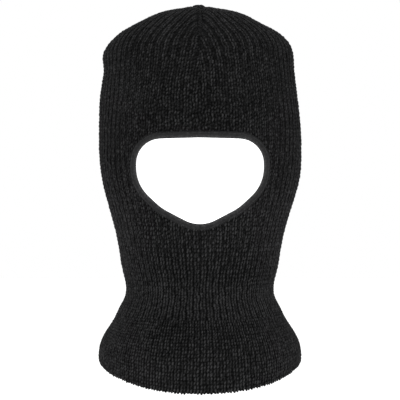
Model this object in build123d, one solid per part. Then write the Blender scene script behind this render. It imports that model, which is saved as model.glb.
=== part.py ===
from build123d import *
import math
import os

# A knitted one-hole balaclava, in the shape it takes on a head. Millimetres, +Z up.
# The origin is inside the crown, where the top of the head bears on the fabric.
# The face looks along -Y, and the wearer's left hand is on the +X side.

# Knitted wall
wall = 3.5                  # thick rib fabric, from face to face
crown_height = wall         # outside of the crown above the origin

# The worn shape, from the crown down: height, half width, reach forward, reach back.
# Every level is an ellipse between its two reaches, and is deeper than it is wide.
worn_shape = [
    (crown_height, 9, 13.5, 5.5),       # drawn-in crown
    (crown_height - 2, 19, 25, 15),
    (-1.5, 34, 41, 34),
    (-8, 50, 57, 56),
    (-17, 65.5, 69, 73),
    (-32, 79.5, 83, 90),                # corners of the crown
    (-50, 81.5, 91, 97),
    (-80, 85.5, 95.5, 101),             # forehead and back of the head
    (-115, 88.3, 96, 98),               # over the ears
    (-146, 85, 94.5, 89),
    (-177, 76, 92, 78),                 # mouth
    (-205, 69.5, 84, 71),               # chin
    (-237, 64.3, 61, 69),               # neck, the narrowest level
    (-266, 74.3, 71, 79),
    (-297, 87.7, 87, 90),               # widest part of the skirt
    (-308, 87, 89.5, 91.5),
    (-319, 86.5, 90.5, 92),
    (-330, 86, 91, 92),                 # below the hem, trimmed off
]
knot_centre = (worn_shape[0][3] - worn_shape[0][2]) / 2

# Levels where one kind of knitting changes to the next
crown_base = -33
neck_top = -234
neck_bottom = -261

# Hem: lowest in front, a little higher behind, and raised over the shoulders
hem_front = -318
hem_peak = -298             # where its two slopes would meet if they were not rounded over
hem_back = -312
hem_reach = 88              # how far in front and behind those two heights are
hem_bend = 34               # where the slopes start to round over
hem_overrun = 132           # the hem line is drawn past the fabric to here
cast_on = 3                 # firm first courses at the hem

# Face opening, seen from the front
eye_half_width = 52.3
eye_top = -112
eye_corner_top = -112.8
eye_cheek = -149.5          # where the sides turn in towards the chin
eye_jaw = (31.6, -168.6)    # half width and height where the lower edge flattens out
eye_bottom = -184.9
flat_brow_radius = 200
brow_radius = 20
cheek_radius = 31
jaw_radius = 40
chin_radius = 27

# Binding round the face opening
binding_width = 4.8
binding_proud = 0.8         # thicker than the wall by this much on each face
binding_join_width = 1.0
linking_thread = 0.8

# Seams
seam_width = 1.6
seam_sink = 0.3             # the seam lies a little below the outer face
seam_allowance = 2.0        # and stands into the hood by this much
knot_radius = 5
knot_height = 3.0

# Care label, sewn inside the back of the neck along its top edge
label_width = 26
stitch_row_width = 24
label_length = 32
label_thickness = 0.6
label_hinge = (61.6, -228)  # the sewn line: distance behind the origin, height
label_gap = 0.4             # free fabric starts this far below the sewn line
stitch_bar = 1.2            # thickness of the row of stitches
stitch_clearance = 0.7      # the row stands this far behind the sewn line

REACH = 400                 # larger than the whole object


def facing_normals():
    """Outward direction of the wall at each level, as (sideways, up)."""
    normals = [(0.0, 1.0)]
    for above, below in zip(worn_shape, worn_shape[2:]):
        widening = below[1] - above[1]
        drop = above[0] - below[0]
        length = math.hypot(widening, drop)
        normals.append((drop / length, widening / length))
    normals.append((1.0, 0.0))
    return normals


def hood_form(grow):
    """The solid inside the hood's outer face, moved outward by grow all over."""
    levels = []
    for (height, half_width, forward, back), (side, up) in zip(worn_shape, facing_normals()):
        half_depth = (forward + back) / 2
        centre = (back - forward) / 2
        level = Ellipse(half_width + grow * side, half_depth + grow * side)
        levels.append(Pos(0, centre, height + grow * up) * level)
    return loft(levels)


def layer(outside, inside):
    """A shell between two moved copies of the outer face."""
    return hood_form(outside) - hood_form(inside)


def between(low, high):
    """Everything between two heights."""
    return Pos(0, 0, (low + high) / 2) * Box(REACH, REACH, high - low)


def hem_line(lift):
    """The hem seen from the side, drawn past the fabric at both ends, raised by lift."""
    forward_fall = (hem_peak - hem_front) / hem_reach
    backward_fall = (hem_peak - hem_back) / hem_reach
    peak = hem_peak + lift
    front_bend = (-hem_bend, peak - forward_fall * hem_bend)
    back_bend = (hem_bend, peak - backward_fall * hem_bend)
    front_run = Line((-hem_overrun, peak - forward_fall * hem_overrun), front_bend)
    arch = Spline(front_bend, back_bend, tangents=[(1, forward_fall), (1, -backward_fall)])
    back_run = Line(back_bend, (hem_overrun, peak - backward_fall * hem_overrun))
    return front_run + arch + back_run


def above_hem(lift):
    """Everything above the hem line raised by lift."""
    lower = hem_line(lift)
    start, end = [lower.vertices().sort_by(Axis.X)[i] for i in (0, -1)]
    top = crown_height + REACH
    walls = Polyline((end.X, end.Y), (end.X, top), (start.X, top), (start.X, start.Y))
    return extrude(Plane.YZ * make_face(lower + walls), amount=REACH, both=True)


def hem_band():
    """The strip between the hem line and the end of the cast-on courses."""
    lower = hem_line(0)
    upper = hem_line(cast_on)
    ends = [lower.vertices().sort_by(Axis.X)[i] for i in (0, -1)]
    sides = [Line((v.X, v.Y), (v.X, v.Y + cast_on)) for v in ends]
    return extrude(Plane.YZ * make_face(lower + upper + sides), amount=REACH / 2, both=True)


def face_outline(margin):
    """The face opening widened by margin, as a bar that runs forward through the wall."""
    jaw_x, jaw_z = eye_jaw
    side = [
        (eye_half_width, eye_corner_top),
        (eye_half_width, eye_cheek),
        (jaw_x, jaw_z),
    ]
    side_radii = [brow_radius, cheek_radius, jaw_radius]
    other_side = [(-x, z) for x, z in reversed(side)]
    corners = [(0, eye_top), *side, (0, eye_bottom), *other_side]
    radii = [flat_brow_radius, *side_radii, chin_radius, *reversed(side_radii)]
    edge = FilletPolyline(*corners, radius=radii, close=True)
    outline = offset(make_face(edge), amount=margin)
    return extrude(Plane.XZ * outline, amount=REACH / 2)


def upright_slab(width, heading):
    """A slab from the crown's centre outwards; heading 0 is forward, 90 the wearer's left."""
    slab = Pos(0, -REACH / 2, 0) * Box(width, REACH, 2 * REACH)
    return Pos(0, knot_centre, 0) * Rot(0, 0, heading) * slab


def knot_post(radius):
    """The round plug of drawn-up yarn in the middle of the crown."""
    bottom = -seam_allowance
    top = crown_height + knot_height
    return Pos(0, knot_centre, (bottom + top) / 2) * Cylinder(radius, top - bottom)


fabric = layer(0, -wall) & above_hem(0)
seam_layer = layer(-seam_sink, -wall - seam_allowance) & above_hem(0)
binding_layer = layer(binding_proud, -wall - binding_proud)
darts = {
    "dart_seam_front": upright_slab(seam_width, 0),
    "dart_seam_left": upright_slab(seam_width, 90),
    "dart_seam_right": upright_slab(seam_width, -90),
}
back_slab = upright_slab(seam_width, 180)
crown_zone = between(crown_base, REACH)
parts = {}

# Crown: four gores between three darts and the back seam, drawn together under a knot
gores = fabric & crown_zone
for slab in darts.values():
    gores -= slab
gores = gores - back_slab - knot_post(knot_radius)
gore_names = {
    (1, -1): "crown_gore_front_left",
    (-1, -1): "crown_gore_front_right",
    (1, 1): "crown_gore_back_left",
    (-1, 1): "crown_gore_back_right",
}
for gore in gores.solids():
    middle = gore.center()
    side = (1 if middle.X > 0 else -1, 1 if middle.Y > knot_centre else -1)
    parts[gore_names[side]] = gore
for name, slab in darts.items():
    parts[name] = (seam_layer & crown_zone & slab) - knot_post(knot_radius)
knot = knot_post(knot_radius)
parts["crown_knot"] = fillet(knot.edges().group_by(Axis.Z)[-1], knot_radius / 2)

# Body of the hood
tube = fabric - back_slab
band = face_outline(binding_width)
rim = face_outline(binding_width + linking_thread)
parts["head_panel"] = (tube & between(neck_top, crown_base)) - rim
parts["neck_rib"] = tube & between(neck_bottom, neck_top)
parts["skirt"] = tube & between(-REACH, neck_bottom) & above_hem(cast_on)
parts["hem_edge"] = (layer(0, -wall) & hem_band()) - back_slab
parts["back_seam"] = (seam_layer & back_slab) - knot_post(knot_radius)

# Face binding, the thread that links it to the hood, and the join of its two ends
join_slab = Pos(0, 0, -REACH / 2 + eye_cheek) * Box(binding_join_width, REACH, REACH)
ring = (binding_layer & band) - face_outline(0)
parts["face_binding"] = ring - join_slab
join_layer = layer(binding_proud / 2, -wall - binding_proud / 2)
parts["binding_join"] = join_layer & ((band & join_slab) - face_outline(0))
parts["linking_thread"] = layer(-seam_sink, -wall) & (rim - band)

# Care label and its row of stitches
hinge_y, hinge_z = label_hinge
label_centre = hinge_z - label_gap - label_length / 2
parts["care_label"] = Pos(0, hinge_y, label_centre) * Box(label_width, label_thickness, label_length)
row_corner = (Align.CENTER, Align.MIN, Align.MIN)
stitch_row = Box(stitch_row_width, REACH, stitch_bar, align=row_corner)
stitch_row = Pos(0, hinge_y + stitch_clearance, hinge_z) * stitch_row
parts["label_stitches"] = (stitch_row & hood_form(-wall)) - parts["back_seam"]

os.makedirs("parts", exist_ok=True)
for name, shape in parts.items():
    shape.label = name
    export_step(shape, f"parts/{name}.step")
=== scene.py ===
import math
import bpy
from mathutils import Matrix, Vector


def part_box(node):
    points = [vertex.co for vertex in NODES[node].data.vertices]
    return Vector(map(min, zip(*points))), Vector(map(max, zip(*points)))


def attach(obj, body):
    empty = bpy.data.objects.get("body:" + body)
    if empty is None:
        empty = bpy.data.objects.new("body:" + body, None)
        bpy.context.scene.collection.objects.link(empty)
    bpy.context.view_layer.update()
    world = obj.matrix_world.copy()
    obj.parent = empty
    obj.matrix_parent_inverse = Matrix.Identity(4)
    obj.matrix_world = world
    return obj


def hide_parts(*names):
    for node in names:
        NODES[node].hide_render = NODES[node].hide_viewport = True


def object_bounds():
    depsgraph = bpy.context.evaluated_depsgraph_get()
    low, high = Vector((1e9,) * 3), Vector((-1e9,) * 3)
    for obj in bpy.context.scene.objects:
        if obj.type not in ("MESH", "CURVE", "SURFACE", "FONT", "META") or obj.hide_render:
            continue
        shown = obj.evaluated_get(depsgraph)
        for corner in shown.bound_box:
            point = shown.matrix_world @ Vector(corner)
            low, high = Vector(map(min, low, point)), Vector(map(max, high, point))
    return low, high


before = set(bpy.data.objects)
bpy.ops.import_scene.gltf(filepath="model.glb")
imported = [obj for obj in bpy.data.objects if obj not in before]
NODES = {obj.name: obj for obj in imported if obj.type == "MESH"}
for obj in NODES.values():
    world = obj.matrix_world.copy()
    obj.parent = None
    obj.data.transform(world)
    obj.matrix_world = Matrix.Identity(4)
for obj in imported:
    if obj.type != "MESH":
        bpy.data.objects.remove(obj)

from types import SimpleNamespace
import bpy
import numpy as np
from mathutils import Vector
from mathutils.bvhtree import BVHTree

CAD_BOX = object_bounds()
MM = 0.001
RNG = np.random.default_rng(11)

# ---------------------------------------------------------------- knit gauge
REPEATS = 76                # rib repeats round the hood: two knit wales and one purl wale each
SKIRT_REPEATS = 102         # the flared skirt is knitted fuller
PER_REPEAT = 18             # mesh columns in one of the hood's repeats
PER_COURSE = 6              # mesh rows in one course
STEP = 2                    # the inner face has one vertex for this many outside
WALE = 2.45 * MM            # a relaxed knit wale's width
MIN_GAP = 0.5 * MM          # the purl wale's width where the rib is pulled in tight
WALL = 3.5 * MM
INNER_SHADE = 0.45          # how light the yarn looks on the inner face
HEAD_COURSE = 3.1 * MM
CHIN_COURSE = 3.7 * MM
NECK_COURSE = 2.4 * MM
SKIRT_COURSE = 2.68 * MM

HOOD_NODES = [
    "crown_gore_front_left", "crown_gore_front_right", "crown_gore_back_left",
    "crown_gore_back_right", "head_panel", "neck_rib", "skirt", "hem_edge",
]
CROWN_LEVELS = 24           # levels measured above the head panel, closer together near the top
SIDE_LEVELS = 150           # levels measured below that
HEM_MARGIN = 7 * MM         # the lowest level lies this far above the hem's lowest point
PROFILE_STEP = 0.5 * MM
SMOOTHING = 15              # samples of the profile that are averaged
HEM_SECTORS = 72


# ---------------------------------------------------------------- the hood's outer face
def cad_tree(names):
    """One ray-casting tree over several CAD nodes."""
    points, polygons = [], []
    for name in names:
        mesh = NODES[name].data
        first = len(points)
        points += [v.co.copy() for v in mesh.vertices]
        polygons += [[first + i for i in p.vertices] for p in mesh.polygons]
    return BVHTree.FromPolygons(points, polygons)


def measure_levels(tree):
    """Height, half width, half depth and centre of the hood's oval levels, from the crown down."""
    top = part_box("crown_gore_front_left")[1].z
    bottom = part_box("hem_edge")[0].z
    crown = top - (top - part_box("head_panel")[1].z) * np.linspace(0.2, 1, CROWN_LEVELS) ** 2
    rest = np.linspace(crown[-1], bottom + HEM_MARGIN, SIDE_LEVELS)[1:]
    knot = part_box("crown_knot")
    axis = np.array([0, (knot[0].y + knot[1].y) / 2])
    reach = 1.0             # the rays start this far out and point at the axis
    rows = []
    for z in [*crown, *rest]:
        hits = []
        for turn in np.arange(5, 360, 10) * math.pi / 180:
            way = np.array([math.sin(turn), -math.cos(turn)])
            start = axis + reach * way
            hit = tree.ray_cast(Vector((*start, z)), Vector((*-way, 0)))[0]
            if hit and np.dot(np.array(hit[:2]) - axis, way) > 0:
                hits.append(hit[:2])
        x, y = np.array(hits).T
        square = np.stack([x * x, y * y, y], -1)
        p, q, r = np.linalg.lstsq(square, np.ones(len(x)), rcond=None)[0]
        middle = -r / (2 * q)
        whole = 1 + q * middle ** 2
        rows.append((z, math.sqrt(whole / p), math.sqrt(whole / q), middle))
    return np.array(rows)


def build_profile():
    """The levels as smooth functions of the distance down the hood's side from the crown's middle."""
    levels = measure_levels(cad_tree(HOOD_NODES))
    first = levels[0].copy()
    first[1:3] = 0
    first[0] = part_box("crown_gore_front_left")[1].z
    trend = (levels[-1] - levels[-4]) / (levels[-1, 0] - levels[-4, 0])
    below_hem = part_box("hem_edge")[0].z - 8 * MM
    last = levels[-1] + trend * (below_hem - levels[-1, 0])
    levels = np.vstack([first, levels, last])
    steps = np.hypot(np.diff(levels[:, 0]), np.diff(levels[:, 1]))
    along = np.concatenate([[0], np.cumsum(steps)])
    fine = np.arange(0, along[-1], PROFILE_STEP)
    kernel = np.hanning(SMOOTHING)
    kernel /= kernel.sum()
    side = SMOOTHING - 1
    smooth = []
    for column in levels.T:
        values = np.interp(fine, along, column)
        mirrored = np.concatenate([values[side:0:-1], values, values[-2:-side - 2:-1]])
        if column[0] == 0:
            mirrored[:side] *= -1
        smooth.append(np.convolve(mirrored, kernel, "same")[side:-side][: len(fine)])
    return fine, np.array(smooth)


ALONG, PROFILE = build_profile()
SLOPES = np.gradient(PROFILE, ALONG, axis=1)


def level(v):
    """Height, half width, half depth and centre at distance v."""
    return [np.interp(v, ALONG, row) for row in PROFILE]


def surface(t, v):
    """Points and outward directions of the smooth outer face. t is 0 in front and a quarter turn at +X."""
    z, a, b, c = level(v)
    dz, da, db, dc = (np.interp(v, ALONG, row) for row in SLOPES)
    point = np.stack([a * np.sin(t), c - b * np.cos(t), z], -1)
    around = np.stack([a * np.cos(t), b * np.sin(t), 0 * z], -1)
    down = np.stack([da * np.sin(t), dc - db * np.cos(t), dz], -1)
    normal = np.cross(down, around)
    normal /= np.maximum(np.linalg.norm(normal, axis=-1, keepdims=True), 1e-12)
    return point, normal


def distance_at(height):
    """How far down the side that height is."""
    return float(np.interp(-height, -PROFILE[0], ALONG))


def front_point(x, z):
    """Points and outward directions of the outer face in front, at a place seen from the front."""
    v = np.interp(-np.asarray(z), -PROFILE[0], ALONG)
    t = np.arcsin(np.clip(x / level(v)[1], -0.999, 0.999))
    return surface(t, v)


def hem_heights(t):
    """The CAD hem's lowest height in each direction."""
    mesh = NODES["hem_edge"].data
    points = np.array([v.co for v in mesh.vertices])
    low = points[:, 2] < points[:, 2].max()
    angle = np.arctan2(points[:, 0], -points[:, 1])
    bins = np.linspace(-math.pi, math.pi, HEM_SECTORS + 1)
    which = np.digitize(angle, bins) - 1
    heights = [points[(which == k) & low, 2].min() if np.any(which == k) else np.nan
               for k in range(HEM_SECTORS)]
    centres = (bins[1:] + bins[:-1]) / 2
    good = ~np.isnan(heights)
    wrapped = np.mod(t + math.pi, 2 * math.pi) - math.pi
    table = np.interp(centres, centres[good], np.array(heights)[good], period=2 * math.pi)
    table = (np.roll(table, 1) + 2 * table + np.roll(table, -1)) / 4
    return np.interp(wrapped, centres, table, period=2 * math.pi)


# ---------------------------------------------------------------- rows and columns of the knit
def course_rows(start, stop, first_course, last_course):
    """Distances of the mesh rows from start to stop, with the courses' height changing evenly."""
    count = round((stop - start) / ((first_course + last_course) / 2))
    even = np.linspace(0, 1, count * PER_COURSE + 1)
    ratio = last_course / first_course
    bent = even + (ratio - 1) * even ** 2 / 2
    return start + (stop - start) * bent / bent[-1]


KNOT = (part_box("crown_knot")[1].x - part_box("crown_knot")[0].x) / 2
CROWN_BASE = distance_at(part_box("head_panel")[1].z)
NECK_TOP = distance_at(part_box("neck_rib")[1].z)
NECK_BOTTOM = distance_at(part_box("neck_rib")[0].z)

zones = [
    ("crown", course_rows(KNOT * 0.8, CROWN_BASE, HEAD_COURSE, HEAD_COURSE)),
    ("head", course_rows(CROWN_BASE, NECK_TOP, HEAD_COURSE, CHIN_COURSE)),
    ("neck", course_rows(NECK_TOP, NECK_BOTTOM, NECK_COURSE, NECK_COURSE)),
]
COLUMNS = REPEATS * PER_REPEAT
T = np.arange(COLUMNS) * 2 * math.pi / COLUMNS
HEM = np.array([distance_at(h) for h in hem_heights(T)])
SKIRT_COURSES = round((HEM.mean() - NECK_BOTTOM) / SKIRT_COURSE)
skirt_share = np.linspace(0, 1, SKIRT_COURSES * PER_COURSE + 1)

rows, zone_start = [], {}
for name, distances in zones:
    zone_start[name] = len(rows)
    rows += [np.full(COLUMNS, d) for d in distances[:-1]]
zone_start["skirt"] = len(rows)
rows += [NECK_BOTTOM + (HEM - NECK_BOTTOM) * s for s in skirt_share]
zone_start["hem"] = len(rows) - 1 - PER_COURSE
zone_start["end"] = len(rows) - 1
V = np.array(rows)
# SS turns evenly from rib to rib; TT is the oval's own angle, which keeps the ribs equally wide
SS = np.broadcast_to(T, V.shape)
WIDE, DEEP = level(V)[1:3]
TT = SS + (DEEP - WIDE) / (DEEP + WIDE) / 2 * np.sin(2 * SS)
COURSE = (np.arange(len(rows)) / PER_COURSE)[:, None] + 0 * V


def wander(scale_t, scale_v, terms=14):
    """A smooth, seeded unevenness between about -1 and 1 over the whole hood."""
    total = np.zeros(V.shape)
    for _ in range(terms):
        around = RNG.integers(1, scale_t)
        down = RNG.uniform(0.5, 1) * scale_v
        total += np.sin(around * SS + down * V / MM + RNG.uniform(0, 2 * math.pi))
    return total / math.sqrt(terms / 2)


def gathering():
    """How far the ribs have spread apart below the knot: 0 at the knot, 1 where they run straight."""
    share = np.clip(V / (1.5 * CROWN_BASE), 1e-3, 1)
    return np.sin(share * math.pi / 2) ** 0.72


def dart_layout():
    """The wale coordinate in repeats, with ribs that end at the darts, the distance from the nearest
    dart, and how marked the darts are."""
    gore = math.pi / 2
    centre = (np.floor(SS / gore) + 0.5) * gore
    turned = centre + (SS - centre) * gathering()
    edge = gore / 2 - np.abs(SS - centre)
    width = level(V)[1]
    beside = edge * np.maximum(width, 1 * MM)
    fade = np.clip((CROWN_BASE - V) / (22 * MM), 0, 1) ** 0.7
    return turned * REPEATS / (2 * math.pi), beside, fade


def stitch_table(courses, low, high):
    """One random number for each stitch, by course and by wale."""
    return RNG.uniform(low, high, (courses + 3, 3 * SKIRT_REPEATS + 6))


def smooth_step(low, high, value):
    """0 up to low, 1 from high, and smooth between them."""
    share = np.clip((value - low) / (high - low), 0, 1)
    return share * share * (3 - 2 * share)


def soft_spot(direction, height, width_t, width_z):
    """A smooth hump of height 1 on the hood's face."""
    z = level(V)[0]
    turn = np.mod(TT - direction + math.pi, 2 * math.pi) - math.pi
    return np.exp(-((turn / width_t) ** 2) - ((z - height) / width_z) ** 2)


# ---------------------------------------------------------------- stitches
# Heights of the knit's parts above the smooth face, in mm
STITCH_FOOT = -1.0
STITCH_RISE = 1.45
PURL_FOOT = -1.22
PURL_RISE = 1.15
SKIRT_PURL_LIFT = 0.22
DRAWN_FOOT = -0.95
DRAWN_SLIT = -1.08

# Direction, height, half width round the hood, half height and size of each soft form, in radians and mm
SOFT_SPOTS = [
    (-math.pi / 2, -38, 0.35, 9, 2.8),
    (-math.pi / 2, -70, 0.5, 22, 1.8),
    (math.pi / 2, -9, 0.45, 7, -1.2),
    (-math.pi / 2, -8, 0.45, 6, -0.7),
    (math.pi / 2, -143, 0.3, 16, 0.9),
    (-math.pi / 2, -256, 0.7, 9, 2.0),
    (math.pi / 2, -256, 0.7, 9, 1.8),
    (0, -36, 0.03, 13, -1.3),
    (0.03, -14, 0.08, 8, -2.2),
]


def stitch_grid():
    """Each vertex's place in its stitch, and that stitch's own size, lean and tone."""
    in_skirt = V > NECK_BOTTOM
    u = np.where(in_skirt, SS * SKIRT_REPEATS / (2 * math.pi), dart_layout()[0])
    u = u + 0.05 * wander(9, 0.16) + 0.03 * wander(60, 0.7)
    w = COURSE + 0.1 * wander(6, 0.06) + 0.05 * wander(46, 0.5)
    repeats = np.where(in_skirt, SKIRT_REPEATS, REPEATS)
    gauge = math.pi * (WIDE + DEEP) / gathering() / repeats
    wale = np.minimum(WALE, (gauge - MIN_GAP) / 2)
    gap = gauge - 2 * wale
    repeat = np.floor(u + 0.5)
    across = (u - repeat) * gauge
    knit = np.abs(across) > gap / 2
    inside = np.where(knit, (np.abs(across) - gap / 2) / wale * 2 - 1, across / (gap / 2))

    # three wales to a repeat: a knit one on each side of the purl one
    which = np.where(knit, np.where(across > 0, 2, 0), 1)
    column = (np.mod(repeat, repeats) * 3 + which).astype(int)
    offsets = RNG.uniform(-0.09, 0.09, 3 * SKIRT_REPEATS + 6)
    offsets += np.tile([0, 0.35, 0], SKIRT_REPEATS + 2)
    phase = w + offsets[column]
    course = np.clip(np.floor(phase), 0, None).astype(int)
    rise = phase - np.floor(phase)
    count = int(COURSE.max()) + 2
    height = stitch_table(count, 0.62, 1.15)[course, column]
    lean = stitch_table(count, -0.35, 0.35)[course, column]
    lean = lean + 0.9 * (rise - 0.5) * (1 - which)
    tone = stitch_table(count, 0, 1)[course, column]
    swell = np.sin(math.pi * np.clip(rise * 0.94 + 0.03, 0, 1)) ** 0.8
    return SimpleNamespace(in_skirt=in_skirt, gap=gap, knit=knit, inside=inside, rise=rise,
                           height=height, lean=lean, tone=tone, swell=swell)


def loose_rib(at):
    """The rib where it lies easily: plump V stitches, and low cross bars in the purl wales."""
    # each stitch is a plump V: its two legs part upwards from the stitch below
    crest = 1 - np.abs(np.clip(at.inside - at.lean, -1, 1)) ** 2.3
    spread = 0.5 - 0.42 * at.rise
    legs = np.exp(-((np.abs(at.inside - at.lean) - spread) / 0.3) ** 2)
    stitch = crest * (0.65 + 0.35 * legs) * (0.3 + 0.7 * at.swell) * at.height
    edge = 1 - np.abs(at.inside) ** 6
    face = (STITCH_FOOT + STITCH_RISE * stitch * edge) * MM
    # the purl wale's bars sink to a slit where the rib closes up
    opened = smooth_step(0.4 * MM, 1.6 * MM, at.gap)
    bars = (1 - np.abs(at.inside) ** 2.6) * (0.25 + 0.75 * at.swell) * at.height
    opened = opened * (0.6 + 0.4 * smooth_step(0.75 * CROWN_BASE, 1.3 * CROWN_BASE, V))
    back = (PURL_FOOT + PURL_RISE * opened * bars + SKIRT_PURL_LIFT * at.in_skirt) * MM
    return np.where(at.knit, face, back)


def drawn_rib(at):
    """The rib where it is drawn in: its courses are pulled flat, and its purl wales are slits."""
    ridge = 1 - np.abs(np.clip(at.inside - 0.6 * at.lean, -1, 1)) ** 2.4
    plain = (DRAWN_FOOT + (0.55 + 0.55 * at.height) * ridge * (0.8 + 0.2 * at.swell)) * MM
    return np.where(at.knit, plain, DRAWN_SLIT * MM)


def drawn_share():
    """How far the rib is drawn in: at the neck, round the knot, and less so at the hood's sides."""
    neck = smooth_step(NECK_TOP - 12 * MM, NECK_TOP + 8 * MM, V)
    neck = neck * (1 - smooth_step(NECK_BOTTOM - 5 * MM, NECK_BOTTOM + 7 * MM, V))
    round_knot = 0.9 * (1 - smooth_step(0.6 * CROWN_BASE, 1.35 * CROWN_BASE, V))
    sides = 0.7 * smooth_step(0.55, 0.93, np.abs(np.sin(SS)))
    return np.maximum(np.maximum(neck, round_knot), sides)


def knit_relief():
    """How far each vertex stands from the smooth face, its painted shade (darker in the gaps and creases,
    lighter on the crests), how far it hangs below the hem, and its stitch's tone."""
    at = stitch_grid()
    drawn = drawn_share()
    relief = loose_rib(at) * (1 - drawn) + drawn_rib(at) * drawn
    # painted shade: the yarn's colour darkens the deeper it lies, so the gaps between stitches look shaded
    # and the crests look lit
    shade = np.clip((relief / MM + 1.3) / 1.7, 0, 1)

    # larger forms: drawn-in darts and back seam, soft corners of the crown, uneven wear; and painted shade in
    # the darts' creases and the seam's groove
    _, beside, fade = dart_layout()
    pucker = np.exp(-((beside / (2.4 * MM)) ** 2)) * fade
    bulge = np.sin(np.clip(beside / (15 * MM), 0, 1) * math.pi) * fade
    in_front = np.maximum(np.cos(SS), 0) ** 8
    bulge = 0.9 * bulge * np.clip(V / (30 * MM), 0, 1)
    relief = relief + (bulge - (1.5 + 0.9 * in_front) * pucker) * MM
    groove = np.exp(-((np.abs(TT - math.pi) * DEEP / (1.3 * MM)) ** 2))
    relief -= 0.7 * MM * groove
    relief += 0.4 * MM * wander(5, 0.05) * np.clip(V / (60 * MM), 0, 1)
    for direction, place, width_t, width_z, out in SOFT_SPOTS:
        relief += out * MM * soft_spot(direction, place * MM, width_t, width_z * MM)
    # painted shade: the yarn is coloured darker in the darts' creases, most in front, and in the back seam's
    # groove
    shade = shade * (1 - (0.45 + 0.45 * in_front) * pucker) * (1 - 0.25 * groove)
    # painted shade: the yarn is coloured a little darker above the opening, where less light falls
    shade = shade * (0.87 + 0.13 * smooth_step(0.09, 0.17, -level(V)[0]))

    # the hem turns in, and each wale ends in its own small loop
    last = np.clip((V - HEM + 2.2 * MM) / (2.2 * MM), 0, 1)
    relief -= 0.9 * MM * last ** 2
    loop = np.where(at.knit, 1 - np.abs(at.inside) ** 2.2, -0.6)
    scallop = 0.9 * loop * (0.6 + 1.1 * at.tone) * last ** 2
    return relief, shade, scallop, at.tone


def inner_face():
    """The wall's inner face: soft ribs, and thinner towards the hem."""
    depth = WALL - 0.4 * MM * np.cos(2 * math.pi * (dart_layout()[0] + 0.5))
    hem_depth = 3 * MM
    near_hem = np.clip((V - HEM + hem_depth) / hem_depth, 0, 1)
    depth = depth * (1 - 0.45 * near_hem)
    return POINT - NORMAL * depth[..., None]


RELIEF, SHADE, SCALLOP, TONE = knit_relief()
POINT, NORMAL = surface(TT, V)
OUTER = POINT + NORMAL * RELIEF[..., None]
OUTER[..., 2] -= SCALLOP * MM
INNER = inner_face()


# ---------------------------------------------------------------- meshes
def fill_mesh(mesh, points, quads, tris, uv=None):
    """Writes many four- and three-sided faces into a mesh at once."""
    loops = np.concatenate([quads.ravel(), tris.ravel()])
    totals = np.concatenate([np.full(len(quads), 4), np.full(len(tris), 3)])
    starts = np.concatenate([[0], np.cumsum(totals)[:-1]])
    mesh.vertices.add(len(points))
    mesh.vertices.foreach_set("co", np.asarray(points, np.float32).ravel())
    mesh.loops.add(len(loops))
    mesh.loops.foreach_set("vertex_index", loops.astype(np.int32))
    mesh.polygons.add(len(totals))
    mesh.polygons.foreach_set("loop_start", starts.astype(np.int32))
    mesh.polygons.foreach_set("loop_total", totals.astype(np.int32))
    if uv is not None:
        layer = mesh.uv_layers.new(name="OFBake")
        layer.data.foreach_set("uv", uv[loops].astype(np.float32).ravel())
    mesh.update(calc_edges=True)
    mesh.validate()


def add_mesh(name, mesh, material, body="hood", replaces=()):
    """A smooth-shaded piece on a body, standing for CAD nodes."""
    mesh.shade_smooth()
    piece = bpy.data.objects.new(name, mesh)
    bpy.context.scene.collection.objects.link(piece)
    mesh.materials.append(material)
    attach(piece, body)
    if replaces:
        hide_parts(*replaces)
    return piece


def add_knit(name, points, quads, tris, shade, tone, material, replaces=(), uv=None):
    """A piece of many small faces, with its yarn's painted shade and its stitches' tone stored on its
    vertices.
    """
    mesh = bpy.data.meshes.new(name)
    fill_mesh(mesh, points, quads, tris, uv)
    for key, values in (("depth", shade), ("tone", tone)):
        layer = mesh.attributes.new(key, "FLOAT", "POINT")
        layer.data.foreach_set("value", values.astype(np.float32))
    return add_mesh(name, mesh, material, replaces=replaces)


def add_piece(name, points, faces, material, body="hood", replaces=()):
    """A piece from lists of points and faces."""
    mesh = bpy.data.meshes.new(name)
    mesh.from_pydata([tuple(p) for p in points], [], [tuple(f) for f in faces])
    mesh.update()
    return add_mesh(name, mesh, material, body, replaces)


def shell_faces(keep):
    """The quads and triangles that close the kept blocks of the wall. The outer face's vertices come
    first, and the inner face uses every STEP-th row and column after them."""
    r, c = np.nonzero(keep)
    r0, c0 = r * STEP, c * STEP
    out_id = lambda i, j: i * COLUMNS + np.mod(j, COLUMNS)
    in_id = lambda i, j: V.size + out_id(i, j)
    quads, tris = [], []
    for dr in range(STEP):
        for dc in range(STEP):
            i, j = r0 + dr, c0 + dc
            corners = [out_id(i, j), out_id(i + 1, j), out_id(i + 1, j + 1), out_id(i, j + 1)]
            quads.append(np.stack(corners, -1))
    i, j = r0, c0
    corners = [in_id(i, j), in_id(i, j + STEP), in_id(i + STEP, j + STEP), in_id(i + STEP, j)]
    quads.append(np.stack(corners, -1))

    def wall(select, corner_a, middle, corner_b):
        """Joins the outer and inner faces along one side of the selected blocks."""
        a, m, b = (np.stack([r0 + d[0], c0 + d[1]], -1)[select] for d in (corner_a, middle, corner_b))
        oa, om, ob = (out_id(*p.T) for p in (a, m, b))
        ia, ib = in_id(*a.T), in_id(*b.T)
        tris.extend([np.stack([oa, ia, om], -1), np.stack([om, ib, ob], -1), np.stack([om, ia, ib], -1)])

    padded = np.zeros((keep.shape[0] + 2, keep.shape[1]), bool)
    padded[1:-1] = keep
    half = STEP // 2
    wall(~padded[:-2][r, c], (0, STEP), (0, half), (0, 0))
    wall(~padded[2:][r, c], (STEP, 0), (STEP, half), (STEP, STEP))
    wall(~np.roll(keep, 1, 1)[r, c], (0, 0), (half, 0), (STEP, 0))
    wall(~np.roll(keep, -1, 1)[r, c], (STEP, STEP), (half, STEP), (0, STEP))
    return np.concatenate(quads), np.concatenate(tris)


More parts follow.
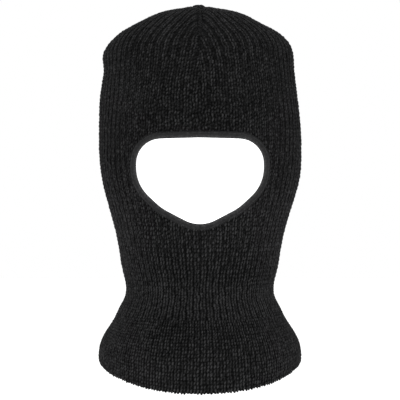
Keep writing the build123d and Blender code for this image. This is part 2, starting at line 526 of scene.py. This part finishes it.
def shell_uv(keep, used):
    """A flat layout of a shell: the outer face on the left, the narrower inner face on the right."""
    is_inner = used >= V.size
    row, col = np.divmod(used % V.size, COLUMNS)
    first = np.nonzero(keep)[1].min() * STEP
    whole_ring = keep.any(0).all()
    if np.nonzero(keep)[1].max() * STEP - first > COLUMNS - 4 * STEP and not whole_ring:
        first = int(np.argmin(keep.any(0))) * STEP
    run = np.mod(col - first, COLUMNS)
    span = max(run.max(), 1)
    height = (row - row.min()) / max(row.max() - row.min(), 1)
    across = np.where(is_inner, 0.76 + 0.23 * run / span, 0.01 + 0.73 * run / span)
    return np.stack([across, 0.01 + 0.98 * height], -1)


def shell(name, keep, material, replaces=()):
    """A closed piece of the knitted wall: the blocks of STEP by STEP cells that keep marks."""
    quads, tris = shell_faces(keep)
    used, where = np.unique(np.concatenate([quads.ravel(), tris.ravel()]), return_inverse=True)
    everything = np.concatenate([OUTER.reshape(-1, 3), INNER.reshape(-1, 3)])
    shade = np.concatenate([SHADE.ravel(), np.full(V.size, INNER_SHADE)])
    tone = np.concatenate([TONE.ravel(), np.full(V.size, 0.5)])
    piece = add_knit(name, everything[used], where[:quads.size].reshape(-1, 4),
                     where[quads.size:].reshape(-1, 3), shade[used], tone[used],
                     material, replaces, shell_uv(keep, used))
    return piece, keep


def tube(path, radius, sides=8, closed=False):
    """A round strand along a list of points, as points and faces; radius may differ along it."""
    path = np.asarray(path, float)
    count = len(path)
    tangent = np.roll(path, -1, 0) - np.roll(path, 1, 0)
    if not closed:
        tangent[0], tangent[-1] = path[1] - path[0], path[-1] - path[-2]
    tangent /= np.linalg.norm(tangent, axis=1, keepdims=True)
    up = np.cross(tangent[0], [0.3, 0.5, 0.81])
    frames = []
    for k in range(count):
        up = up - tangent[k] * np.dot(up, tangent[k])
        up /= np.linalg.norm(up)
        frames.append((up.copy(), np.cross(tangent[k], up)))
    turn = np.arange(sides) * 2 * math.pi / sides
    radii = np.broadcast_to(radius, count)
    points = [path[k] + radii[k] * (math.cos(s) * frames[k][0] + math.sin(s) * frames[k][1])
              for k in range(count) for s in turn]
    faces = []
    for k in range(count if closed else count - 1):
        for s in range(sides):
            a, b = k * sides + s, k * sides + (s + 1) % sides
            n = ((k + 1) % count) * sides
            faces.append((a, b, n + (s + 1) % sides, n + s))
    if not closed:
        faces.append(tuple(range(sides))[::-1])
        faces.append(tuple((count - 1) * sides + s for s in range(sides)))
    return points, faces


def join_meshes(parts):
    """Several (points, faces) as one."""
    points, faces = [], []
    for some_points, some_faces in parts:
        first = len(points)
        points += list(some_points)
        faces += [tuple(first + i for i in f) for f in some_faces]
    return points, faces


# ---------------------------------------------------------------- materials
def material(name, colour, build, roughness=0.85, sheen=0.02, gloss=0.035):
    """A matt yarn-like shader; build(nodes, links, shader) adds its procedural part."""
    made = bpy.data.materials.new(name)
    made.use_nodes = True
    nodes, links = made.node_tree.nodes, made.node_tree.links
    shader = nodes["Principled BSDF"]
    shader.inputs["Base Color"].default_value = (*colour, 1)
    shader.inputs["Roughness"].default_value = roughness
    shader.inputs["Specular IOR Level"].default_value = gloss
    shader.inputs["Sheen Weight"].default_value = sheen
    shader.inputs["Sheen Roughness"].default_value = 0.5
    shader.inputs["Sheen Tint"].default_value = (0.8, 0.82, 0.85, 1)
    build(nodes, links, shader)
    return made


def noise(nodes, links, scale, detail):
    """Noise fixed to the object, with scale as features to a metre."""
    coordinates = nodes.new("ShaderNodeTexCoord")
    texture = nodes.new("ShaderNodeTexNoise")
    texture.inputs["Scale"].default_value = scale
    texture.inputs["Detail"].default_value = detail
    links.new(coordinates.outputs["Object"], texture.inputs["Vector"])
    return texture.outputs["Fac"]


def ramp(nodes, links, source, stops):
    """A nearly neutral grey for each value of the source, from stops of place and lightness."""
    made = nodes.new("ShaderNodeValToRGB")
    elements = made.color_ramp.elements
    while len(elements) < len(stops):
        elements.new(0.5)
    for element, (place, value) in zip(elements, stops):
        element.position = place
        element.color = (value, value, value * 1.02, 1)
    links.new(source, made.inputs["Fac"])
    return made.outputs["Color"]


def math_node(nodes, links, kind, first, second):
    """One calculation on two values, each a number or another node's output."""
    made = nodes.new("ShaderNodeMath")
    made.operation = kind
    for socket, value in zip(made.inputs, (first, second)):
        if isinstance(value, (int, float)):
            socket.default_value = value
        else:
            links.new(value, socket)
    return made.outputs["Value"]


def scaled(nodes, links, source, factor, shift):
    """The source times factor, plus shift."""
    made = math_node(nodes, links, "MULTIPLY_ADD", source, factor)
    made.node.inputs[2].default_value = shift
    return made


def attribute(nodes, name):
    """A number stored on the mesh's vertices."""
    made = nodes.new("ShaderNodeAttribute")
    made.attribute_name = name
    return made.outputs["Fac"]


def bump(nodes, links, shader, height, distance):
    """Fine surface roughness that is too small for the mesh."""
    made = nodes.new("ShaderNodeBump")
    made.inputs["Distance"].default_value = distance
    made.inputs["Strength"].default_value = 1.0
    links.new(height, made.inputs["Height"])
    links.new(made.outputs["Normal"], shader.inputs["Normal"])


def knit_look(dark, light):
    """Yarn with painted shade, lighter on the stitches' crests and darker in the gaps, uneven from stitch to
    stitch, with loose fibres.
    """
    def build(nodes, links, shader):
        fibre = noise(nodes, links, 1500, 4)
        fluff = noise(nodes, links, 620, 2)
        patch = noise(nodes, links, 28, 2)
        # the painted shade stored on the vertices, mixed below with the random tone of fibres, stitches and
        # patches
        mixed = attribute(nodes, "depth")
        tone = attribute(nodes, "tone")
        parts = [(fibre, 0.55, -0.28), (fluff, 1.5, -0.78), (tone, 0.2, -0.1), (patch, 0.3, -0.15)]
        for part, amount, shift in parts:
            mixed = math_node(nodes, links, "ADD", scaled(nodes, links, part, amount, shift), mixed)
        stops = [(0.1, dark), (0.55, dark + (light - dark) * 0.28), (1.0, light)]
        links.new(ramp(nodes, links, mixed, stops), shader.inputs["Base Color"])
        links.new(scaled(nodes, links, fibre, -0.25, 1.0), shader.inputs["Roughness"])
        bump(nodes, links, shader, fibre, 0.25 * MM)
    return build


def plain_yarn_look(dark, light, scale):
    """Spun thread: fine light and dark fibres."""
    def build(nodes, links, shader):
        fibre = noise(nodes, links, scale, 4)
        links.new(ramp(nodes, links, fibre, [(0.3, dark), (0.7, light)]), shader.inputs["Base Color"])
        links.new(scaled(nodes, links, fibre, -0.2, 0.95), shader.inputs["Roughness"])
        bump(nodes, links, shader, fibre, 0.15 * MM)
    return build


KNIT = material("knit_yarn", (0.02, 0.02, 0.02), knit_look(0.0005, 0.0225))
NECK = material("neck_yarn", (0.02, 0.02, 0.02), knit_look(0.0005, 0.0215))
BINDING = material("binding_yarn", (0.03, 0.03, 0.03), knit_look(0.009, 0.036))
THREAD = material("thread_yarn", (0.01, 0.01, 0.01), plain_yarn_look(0.004, 0.015, 2200))
LABEL = material("label_tape", (0.7, 0.7, 0.68), plain_yarn_look(0.6, 0.75, 3000),
                 roughness=0.5, sheen=0.1, gloss=0.4)


# ---------------------------------------------------------------- face opening
OUTLINE_POINTS = 720
BINDING_WIDTH = 5.0 * MM
UNDER_BINDING = 3.4 * MM    # the knit starts this far outside the opening's edge


def opening_reach(middle):
    """The opening's edge as a distance from its middle in evenly spaced directions, from the CAD
    binding seen from the front."""
    count = OUTLINE_POINTS
    share = np.linspace(0, 1, 24)[:, None, None]
    dense = []
    for name in ("face_binding", "binding_join"):
        mesh = NODES[name].data
        points = np.array([v.co for v in mesh.vertices])[:, [0, 2]]
        edges = np.array([e.vertices for e in mesh.edges])
        dense.append((points[edges[:, 0]] * (1 - share) + points[edges[:, 1]] * share).reshape(-1, 2))
    dense = np.concatenate(dense) - middle
    angle = np.arctan2(dense[:, 0], -dense[:, 1])
    bins = np.round((angle + math.pi) / (2 * math.pi) * count).astype(int) % count
    reach = np.full(count, np.inf)
    np.minimum.at(reach, bins, np.hypot(*dense.T))
    good = np.isfinite(reach)
    where = np.arange(count)
    reach = np.interp(where, where[good], reach[good], period=count)
    kernel = np.hanning(17)
    kernel /= kernel.sum()
    side = len(kernel) // 2
    return np.convolve(np.concatenate([reach[-side:], reach, reach[:side]]), kernel, "valid")


def opening_outline():
    """The bound opening's inner edge seen from the front, as points, with its outward directions."""
    low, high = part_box("face_binding")
    middle = np.array([0.0, (low.z + high.z) / 2])
    reach = opening_reach(middle)
    angle = np.arange(OUTLINE_POINTS) / OUTLINE_POINTS * 2 * math.pi - math.pi
    ring = middle + np.stack([np.sin(angle), -np.cos(angle)], -1) * reach[:, None]
    steps = np.linalg.norm(np.roll(ring, -1, 0) - ring, axis=1)
    along = np.concatenate([[0], np.cumsum(steps)])
    closed = np.vstack([ring, ring[:1]])
    even = np.linspace(0, along[-1], OUTLINE_POINTS, endpoint=False)
    ring = np.stack([np.interp(even, along, closed[:, k]) for k in (0, 1)], -1)
    tangent = np.roll(ring, -1, 0) - np.roll(ring, 1, 0)
    tangent /= np.linalg.norm(tangent, axis=1, keepdims=True)
    outward = np.stack([tangent[:, 1], -tangent[:, 0]], -1)
    if np.sum(outward * (ring - middle)) < 0:
        outward = -outward
    return ring, outward, along[-1]


RING, RING_OUT, RING_LENGTH = opening_outline()


def opening_margin(x, z):
    """How far a place seen from the front lies outside the opening's edge; negative inside it."""
    ring, outward = RING[::4], RING_OUT[::4]
    batch = 20000
    flat = np.stack([np.ravel(x), np.ravel(z)], -1)
    result = np.empty(len(flat))
    for start in range(0, len(flat), batch):
        some = flat[start:start + batch]
        gap = some[:, None, :] - ring[None]
        nearest = np.argmin((gap ** 2).sum(-1), axis=1)
        ours = gap[np.arange(len(some)), nearest]
        result[start:start + batch] = (ours * outward[nearest]).sum(-1)
    return result.reshape(np.shape(x))


def keep_mask():
    """Which blocks of the knit are fabric: everything but the face opening."""
    low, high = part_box("face_binding")
    centre = POINT[STEP // 2::STEP, STEP // 2::STEP][: (V.shape[0] - 1) // STEP]
    keep = np.ones(centre.shape[:2], bool)
    x, y, z = centre[..., 0], centre[..., 1], centre[..., 2]
    near = (y < 0) & (z > low.z) & (z < high.z) & (np.abs(x) < high.x)
    rows_near, cols_near = np.nonzero(near)
    cut = opening_margin(x[rows_near, cols_near], z[rows_near, cols_near]) < UNDER_BINDING
    keep[rows_near[cut], cols_near[cut]] = False
    return keep


KEEP = keep_mask()


def zone_mask(first, last, start=0.0, stop=1.0):
    """The kept blocks between two rows and between two shares of the way round."""
    mask = np.zeros_like(KEEP)
    c0, c1 = round(start * KEEP.shape[1]), round(stop * KEEP.shape[1])
    mask[first // STEP:last // STEP, c0:c1] = True
    return mask & KEEP


crown, head = zone_start["crown"], zone_start["head"]
neck, skirt, hem, end = zone_start["neck"], zone_start["skirt"], zone_start["hem"], zone_start["end"]


def sectors(name, node, first, last, count, material):
    """A ring of knit in equal sectors, each light enough to export whole."""
    made = []
    for k in range(count):
        mask = zone_mask(first, last, k / count, (k + 1) / count)
        made.append(shell(f"{name}_{k + 1}", mask, material, [node] if k == 0 else ()))
    return made


gore_nodes = [
    "crown_gore_front_left", "crown_gore_back_left", "crown_gore_back_right", "crown_gore_front_right",
]
gores = [
    shell(f"{node}_knit", zone_mask(crown, head, k / 4, (k + 1) / 4), KNIT, [node])
    for k, node in enumerate(gore_nodes)
]
panel = sectors("head_panel_knit", "head_panel", head, neck, 8, KNIT)
rib = sectors("neck_rib_knit", "neck_rib", neck, skirt, 2, NECK)
flare = sectors("skirt_knit", "skirt", skirt, hem, 4, KNIT)
hem_piece = shell("hem_edge_knit", zone_mask(hem, end), KNIT, ["hem_edge"])[0]


# ---------------------------------------------------------------- binding
def binding():
    """A padded knitted strip folded over the opening's edge."""
    around, wales = 28, 4
    courses = round(RING_LENGTH / (2.3 * MM))
    thick = WALL + 1.4 * MM
    turn = np.arange(around) * 2 * math.pi / around
    # a rounded bar: squarish cross-section, rounder at the opening's edge
    across = np.sign(np.cos(turn)) * np.abs(np.cos(turn)) ** 0.55 * BINDING_WIDTH / 2 + BINDING_WIDTH / 2
    depth = np.sign(np.sin(turn)) * np.abs(np.sin(turn)) ** 0.6 * thick / 2
    index = np.arange(OUTLINE_POINTS)
    points = np.empty((OUTLINE_POINTS, around, 3))
    shade = np.empty((OUTLINE_POINTS, around))
    for side in range(around):
        share = across[side] / BINDING_WIDTH
        place = RING + RING_OUT * across[side]
        normal = front_point(place[:, 0], place[:, 1])[1]
        rib = np.abs(np.sin(math.pi * wales * share + 0.3)) ** 0.7
        bead = np.abs(np.sin(math.pi * courses * index / OUTLINE_POINTS + 0.5 * wales * share))
        lift = (0.28 * rib * (0.75 + 0.25 * bead) - 0.2) * MM
        out = depth[side] - WALL / 2 + 0.1 * MM + np.sign(depth[side]) * lift
        # the edge runs straight back through the wall, as seen from the front
        base, normal = front_point(place[:, 0] - normal[:, 0] * out, place[:, 1] - normal[:, 2] * out)
        points[:, side] = base + normal * out[:, None]
        # painted shade: the strip is coloured lighter on its ribs' crests and darker between them; it is also
        # darker towards its outer edge
        shade[:, side] = 0.45 - 0.52 * share + 0.5 * rib * (0.7 + 0.3 * bead)
    ids = np.arange(OUTLINE_POINTS * around).reshape(OUTLINE_POINTS, around)
    ahead, beside = np.roll(ids, -1, 0), np.roll(ids, -1, 1)
    quads = np.stack([ahead, np.roll(ahead, -1, 1), beside, ids], -1).reshape(-1, 4)
    add_knit("face_binding_strip", points.reshape(-1, 3), quads, np.zeros((0, 3), int), shade.ravel(),
             np.full(shade.size, 0.5), BINDING, ["face_binding"])


binding()


def linking():
    """Chain of thread along the outer edge of the binding."""
    place = RING + RING_OUT * (BINDING_WIDTH + 0.15 * MM)
    base, normal = front_point(place[:, 0], place[:, 1])
    index = np.arange(len(RING))
    links = round(RING_LENGTH / (2.6 * MM))
    wave = np.sin(2 * math.pi * links * index / len(RING))
    path = base + normal * (-0.35 + 0.3 * wave)[:, None] * MM
    points, faces = tube(path, 0.42 * MM, sides=6, closed=True)
    add_piece("linking_thread_chain", points, faces, THREAD, replaces=["linking_thread"])


linking()


def binding_join():
    """The small overcast join where the binding's two ends meet, under the chin."""
    low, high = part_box("binding_join")
    strands = []
    for height in np.linspace(low.z + 0.6 * MM, high.z - 0.6 * MM, 4):
        x = np.linspace(-0.9 * MM, 0.9 * MM, 7)
        z = height + 0.35 * x
        base, normal = front_point(x, z)
        arch = (0.55 + 0.35 * np.cos(x / (0.9 * MM) * math.pi / 2)) * MM
        strands.append(tube(base + normal * arch[:, None], 0.28 * MM, sides=6))
    points, faces = join_meshes(strands)
    add_piece("binding_join_stitches", points, faces, THREAD, replaces=["binding_join"])


binding_join()


# ---------------------------------------------------------------- seams, knot and label
def side_radius(v):
    """The hood's half width at distance v, never so small that a seam would fold over itself."""
    return max(float(level(v)[1]), 4 * MM)


def seam_thread(name, node, direction, start, stop, depth):
    """Overcast stitches lying in the seam between two edges of knit."""
    pitch, width = 3.4 * MM, 1.3 * MM
    count = round((stop - start) / pitch)
    share = np.linspace(-1, 1, 7)
    strands = []
    for k in range(count):
        v = start + (k + 0.5) * (stop - start) / count
        t = direction + share * width / side_radius(v)
        base, normal = surface(t, v + share * 0.9 * MM)
        lift = depth + 0.3 * MM * (1 - share ** 2)
        strands.append(tube(base + normal * lift[:, None], 0.34 * MM, sides=6))
    points, faces = join_meshes(strands)
    add_piece(name, points, faces, THREAD, replaces=[node])


def inner_seam():
    """The back seam's allowance: a narrow overcast ridge that stands inside the hood."""
    stop = float(HEM[COLUMNS // 2]) - 1.5 * MM
    start = KNOT * 1.4
    v = np.arange(start, stop, 1.0 * MM)
    profile = [(-1.0, 0.2), (-0.75, -1.5), (0, -1.9), (0.75, -1.5), (1.0, 0.2)]
    points, faces = [], []
    for k, distance in enumerate(v):
        sway = 0.1 * MM * math.sin(k * 2.1)
        swell = 0.12 * MM * math.sin(k * 3.0)
        for across, height in profile:
            t = math.pi + (across * MM + sway) / side_radius(distance)
            base, normal = surface(t, distance)
            points.append(base - normal * (WALL - height * MM + swell))
    n = len(profile)
    for k in range(len(v) - 1):
        for s in range(n):
            a, b = k * n + s, k * n + (s + 1) % n
            faces.append((a, b, b + n, a + n))
    faces.append(tuple(range(n))[::-1])
    faces.append(tuple((len(v) - 1) * n + s for s in range(n)))
    add_piece("back_seam_ridge", points, faces, THREAD, replaces=["back_seam"])


for side, direction, stop in (("front", 0.0, 0.8), ("left", math.pi / 2, 0.9), ("right", -math.pi / 2, 0.9)):
    seam = f"dart_seam_{side}"
    seam_thread(f"{seam}_stitches", seam, direction, KNOT * 1.5, CROWN_BASE * stop, -2.0 * MM)
inner_seam()


def knot_button(centre, rings=7, around=24):
    """The low closed dome under the knot's strands, which covers the ends of the ribs."""
    radius, top, height = 5.6 * MM, -2.2 * MM, 3.4 * MM
    points, faces = [], []
    for i in range(rings):
        lean = math.pi / 2 * i / (rings - 1)
        reach = radius * math.sin(lean) + 0.05 * MM
        lift = top - height * (1 - math.cos(lean))
        for j in range(around):
            turn = j * 2 * math.pi / around
            points.append(centre + np.array([reach * math.cos(turn), reach * math.sin(turn), lift]))
    for i in range(rings - 1):
        for j in range(around):
            a, b = i * around + j, i * around + (j + 1) % around
            faces.append((a, a + around, b + around, b))
    faces.append(tuple(range(around)))
    faces.append(tuple((rings - 1) * around + j for j in range(around))[::-1])
    return points, faces


def crown_knot():
    """Drawn-up yarn ends: a small tight whorl with one short tail."""
    low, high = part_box("crown_knot")
    centre = np.array([(low.x + high.x) / 2, (low.y + high.y) / 2, high.z])
    count = 9
    share = np.linspace(0, 1, 10)
    strands = []
    for k in range(count):
        turn = k * 2 * math.pi / count + 0.25 * RNG.uniform(-1, 1)
        reach = (0.8 + 4.4 * share) * MM
        bend = turn + 0.7 * share
        lift = -2.3 + 0.9 * np.cos(share * math.pi / 2) + 0.25 * RNG.uniform(-1, 1) - 2.0 * share ** 2
        path = centre + np.stack([reach * np.cos(bend), reach * np.sin(bend), lift * MM], -1)
        strands.append(tube(path, 1.2 * MM * (1 - 0.2 * share)))
    strands.append(knot_button(centre))
    share = np.linspace(0, 1, 9)
    x = (0.5 - 6.5 * share) * MM
    z = (-1.4 + 0.9 * np.sin(share * 2.6) - 1.0 * share) * MM
    path = centre + np.stack([x, -1.5 * MM * share, z], -1)
    strands.append(tube(path, 1.0 * MM * (1 - 0.3 * share)))
    points, faces = join_meshes(strands)
    add_piece("crown_knot_whorl", points, faces, THREAD, replaces=["crown_knot"])


crown_knot()


def care_label():
    """A blank tape hanging from its sewn edge, very slightly curled."""
    low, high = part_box("care_label")
    across, down = 21, 27
    x = np.linspace(low.x, high.x, across)
    drop = np.linspace(0, 1, down)
    middle = (low.y + high.y) / 2
    thick = (high.y - low.y) * 0.42
    front, back = [], []
    for share in drop:
        z = high.z - (high.z - low.z) * share
        for place in x:
            curl = 0.12 * MM * math.sin(share * math.pi) * math.cos(place / high.x * 1.3)
            front.append((place, middle - thick - curl, z))
            back.append((place, middle + thick - curl, z))
    points = front + back
    size = len(front)
    faces = []
    for i in range(down - 1):
        for j in range(across - 1):
            a = i * across + j
            faces.append((a, a + across, a + across + 1, a + 1))
            b = a + size
            faces.append((b, b + 1, b + across + 1, b + across))
    border = list(range(across)) + [i * across + across - 1 for i in range(1, down)]
    border += [(down - 1) * across + j for j in range(across - 2, -1, -1)]
    border += [i * across for i in range(down - 2, 0, -1)]
    for a, b in zip(border, border[1:] + border[:1]):
        faces.append((a, b, b + size, a + size))
    return add_piece("care_label_tape", points, faces, LABEL, body="label", replaces=["care_label"])


LABEL_PIECE = care_label()


def label_stitches():
    """The row of zigzag stitches that holds the label's top edge to the neck."""
    low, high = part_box("label_stitches")
    middle = (low.z + high.z) / 2
    count, anchors, radius = 12, 4, 0.3 * MM
    x = np.linspace(low.x, high.x, count * 8 + 1)
    phase = np.linspace(0, count * 2 * math.pi, len(x))
    z = middle + 0.35 * MM * np.sin(phase)
    y = low.y + 0.6 * MM + 0.25 * MM * np.cos(phase)
    strands = [tube(np.stack([x, y, z], -1), radius, sides=6)]
    run = np.linspace(0, 1, 4)
    for k in range(anchors):
        place = low.x + (high.x - low.x) * (k + 0.5) / anchors
        path = np.stack([place + 0 * run, low.y + 0.5 * MM + 2.2 * MM * run, middle + 0 * run], -1)
        strands.append(tube(path, radius, sides=6))
    points, faces = join_meshes(strands)
    add_piece("label_stitches_row", points, faces, THREAD, replaces=["label_stitches"])


label_stitches()


# ---------------------------------------------------------------- stage
def stage_material(name, colour, glow=0.0):
    made = bpy.data.materials.new(name)
    made.use_nodes = True
    shader = made.node_tree.nodes["Principled BSDF"]
    shader.inputs["Base Color"].default_value = (*colour, 1)
    shader.inputs["Roughness"].default_value = 0.9
    shader.inputs["Emission Color"].default_value = (1, 1, 1, 1)
    shader.inputs["Emission Strength"].default_value = glow
    return made


def stage_object(name, points, faces, paint):
    mesh = bpy.data.meshes.new(name)
    mesh.from_pydata([tuple(p) for p in points], [], faces)
    mesh.shade_smooth()
    mesh.materials.append(paint)
    made = bpy.data.objects.new(name, mesh)
    bpy.context.scene.collection.objects.link(made)
    return made


def studio():
    """Pale floor, a glowing white form that fills the hood, white surroundings and soft lights."""
    floor = CAD_BOX[0].z - 0.25
    reach = 6.0
    corners = [(-reach, -reach, floor), (reach, -reach, floor), (reach, reach, floor), (-reach, reach, floor)]
    stage_object("floor", corners, [(0, 1, 2, 3)], stage_material("pale_floor", (0.92, 0.92, 0.92), 0.25))

    # the form ends above the label, which swings up inside the hood
    form_top, form_end = 20 * MM, distance_at(-197 * MM)
    clearance = WALL + 5 * MM
    levels, around = 60, 72
    turns = np.linspace(0, 2 * math.pi, around, endpoint=False)
    points, faces = [], []
    for v in np.linspace(form_top, form_end, levels):
        base, normal = surface(turns, np.full(around, v))
        points += list(base - normal * clearance)
    for i in range(levels - 1):
        for j in range(around):
            a, b = i * around + j, i * around + (j + 1) % around
            faces.append((a, a + around, b + around, b))
    faces.append(tuple(range(around)))
    # painted light: the form glows so that it stays evenly white where the hood would shade it
    stage_object("display_form", points, faces, stage_material("glowing_white_form", (0.9, 0.9, 0.9), 1.1))
    stage_object("display_form_base", points[-around:], [tuple(range(around))[::-1]],
                 stage_material("pale_base", (0.8, 0.8, 0.8)))

    world = bpy.data.worlds.new("studio")
    world.use_nodes = True
    world.node_tree.nodes["Background"].inputs["Color"].default_value = (1, 1, 1, 1)
    world.node_tree.nodes["Background"].inputs["Strength"].default_value = 1.0
    bpy.context.scene.world = world


def area_light(name, place, target, size, power):
    lamp = bpy.data.lights.new(name, "AREA")
    lamp.shape = "RECTANGLE"
    lamp.size, lamp.size_y = size
    lamp.energy = power
    made = bpy.data.objects.new(name, lamp)
    made.location = place
    made.rotation_euler = (Vector(target) - Vector(place)).to_track_quat("-Z", "Y").to_euler()
    bpy.context.scene.collection.objects.link(made)


def camera():
    """A long lens at the height of the face, looking very slightly down."""
    distance, elevation = 1.3, math.radians(0.2)
    view_width = 0.3472
    middle = Vector((0, 0, -0.1625))
    data = bpy.data.cameras.new("camera")
    data.sensor_width = 36
    data.lens = data.sensor_width * distance / view_width
    made = bpy.data.objects.new("camera", data)
    made.location = middle + distance * Vector((0, -math.cos(elevation), math.sin(elevation)))
    made.rotation_euler = (middle - made.location).to_track_quat("-Z", "Y").to_euler()
    bpy.context.scene.collection.objects.link(made)
    bpy.context.scene.camera = made


studio()
centre = (CAD_BOX[0] + CAD_BOX[1]) / 2
area_light("key", (-0.9, -1.5, 0.3), centre, (0.9, 0.9), 20)
area_light("fill", (1.1, -1.3, 0.0), centre, (0.9, 0.9), 14)
area_light("top", (0, 0.3, 1.4), centre, (1.0, 1.0), 6)
camera()
bpy.context.scene.view_settings.view_transform = "Standard"
bpy.context.scene.view_settings.look = "None"
